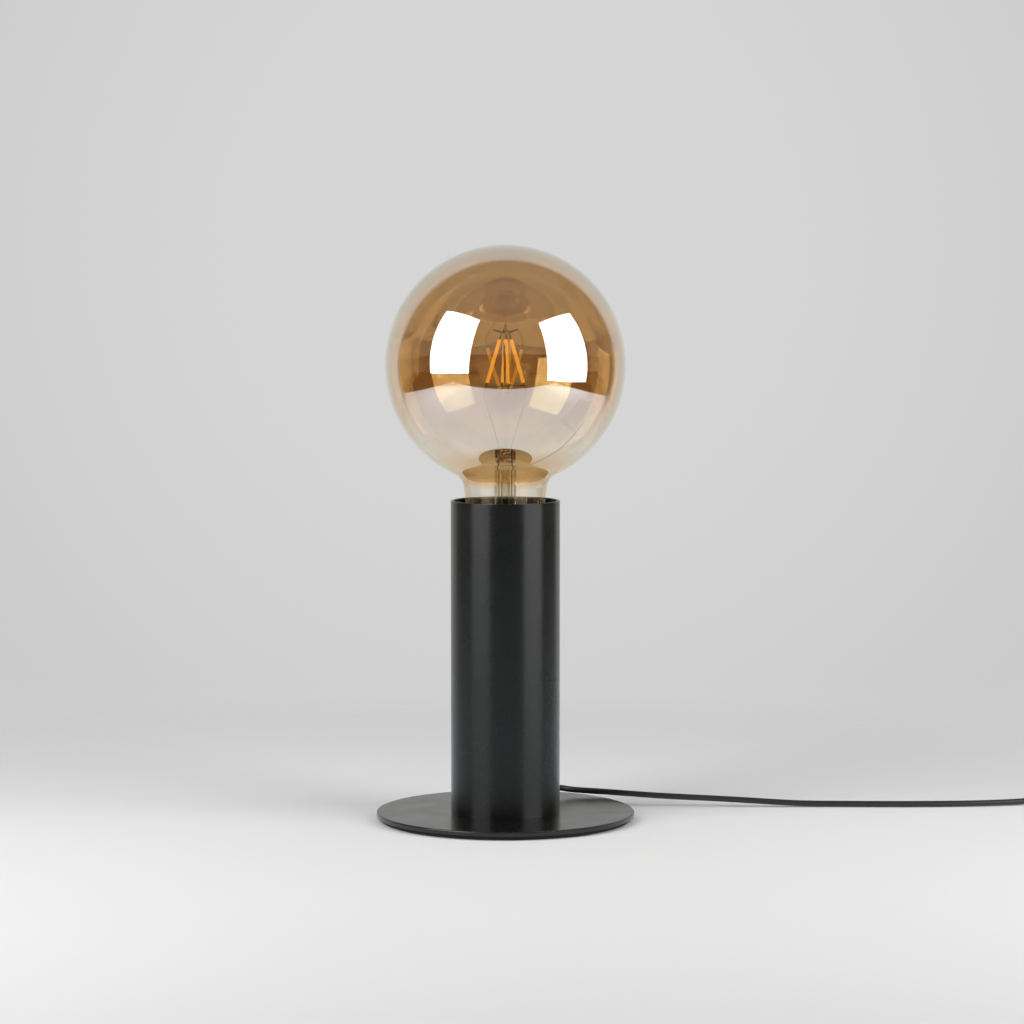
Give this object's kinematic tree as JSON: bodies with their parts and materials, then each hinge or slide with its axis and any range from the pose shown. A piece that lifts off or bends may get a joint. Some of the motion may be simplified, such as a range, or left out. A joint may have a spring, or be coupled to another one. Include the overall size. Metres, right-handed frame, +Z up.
{
  "type": "bedside lamp",
  "caption": "Bedside lamp: a plain black steel tube on a flat round plate with a large amber globe bulb in its open top, a cord with an in-line rocker switch and a flat plug.",
  "frame": {"origin": "centre of the foot pad's underside, on the table", "axes": "+Z up along the tube's axis; the picture looks along +Y; the free cord runs towards +X"},
  "size_m": [0.516, 0.135, 0.3002],
  "materials": {
    "black_steel": "satin black powder coat",
    "pad_foam": "matt black foam rubber",
    "zinc_steel": "zinc plated",
    "holder_plastic": "black phenolic moulding",
    "core_ceramic": "unglazed steatite",
    "brass": "bright brass",
    "cord_black": "matt black PVC",
    "wire_brown": "brown PVC",
    "wire_blue": "blue PVC",
    "switch_black": "fine textured black moulding",
    "rocker_black": "smooth black moulding",
    "pin_nickel": "nickel plated brass",
    "amber_glass": "amber glass with a gold lustre",
    "clear_glass": "clear glass",
    "phosphor": "yellow-orange phosphor silicone",
    "filament_metal": "drawn wire",
    "cap_nickel": "nickel plated brass sheet",
    "cap_insulation": "black vitrite",
    "solder": "solder",
    "board_green": "printed board"
  },
  "bodies": {
    "lamp": {"foot_pad": "pad_foam", "base_plate": "black_steel", "base_screws": "zinc_steel", "tube": "black_steel", "tube_foot": "zinc_steel", "strain_relief": "cord_black", "cord_clamp": "holder_plastic", "clamp_screws": "zinc_steel", "cord_inlet": "cord_black", "live_wire": "wire_brown", "neutral_wire": "wire_blue", "socket_bracket": "zinc_steel", "threaded_nipple": "zinc_steel", "nipple_nuts": "zinc_steel", "nipple_washer": "zinc_steel", "screw_shell": "brass", "holder_body": "holder_plastic", "holder_core": "core_ceramic", "holder_dome": "holder_plastic", "holder_grub": "zinc_steel", "centre_contact": "brass", "terminal_blocks": "brass", "terminal_screws": "zinc_steel", "cord_run": "cord_black", "cord_link": "cord_black", "cord_coil": "cord_black", "coil_tie": "cord_black", "cord_tail": "cord_black", "switch_base": "switch_black", "switch_cover": "switch_black", "switch_contacts": "brass", "switch_screws": "zinc_steel", "plug_body": "switch_black", "plug_pins": "pin_nickel"},
    "rocker": {"switch_rocker": "rocker_black"},
    "bulb_rise": {"bulb_tip": "solder"},
    "bulb": {"bulb_glass": "amber_glass", "bulb_stem": "clear_glass", "led_filaments": "phosphor", "filament_pins": "filament_metal", "filament_spider": "filament_metal", "lead_wires": "filament_metal", "bulb_cap": "cap_nickel", "cap_insulator": "cap_insulation", "driver_board": "board_green"}
  },
  "joints": [
    {"name": "bulb_lift", "type": "slide", "parent": "lamp", "child": "bulb_rise", "axis": [0, 0, 1], "range_m": [0, 0.01815]},
    {"name": "bulb_turn", "type": "hinge", "parent": "bulb_rise", "child": "bulb", "pos_m": [0, 0, 0.13], "axis": [0, 0, 1], "range_deg": [0, 1800]},
    {"name": "switch_toggle", "type": "hinge", "parent": "lamp", "child": "rocker", "pos_m": [0.334, 0.047, 0.0102], "axis": [0, -1, 0], "range_deg": [0, 14]}
  ],
  "couplings": [
    {"joint": "bulb_lift", "follows": "bulb_turn", "m_per_rad": 0.00057757}
  ]
}
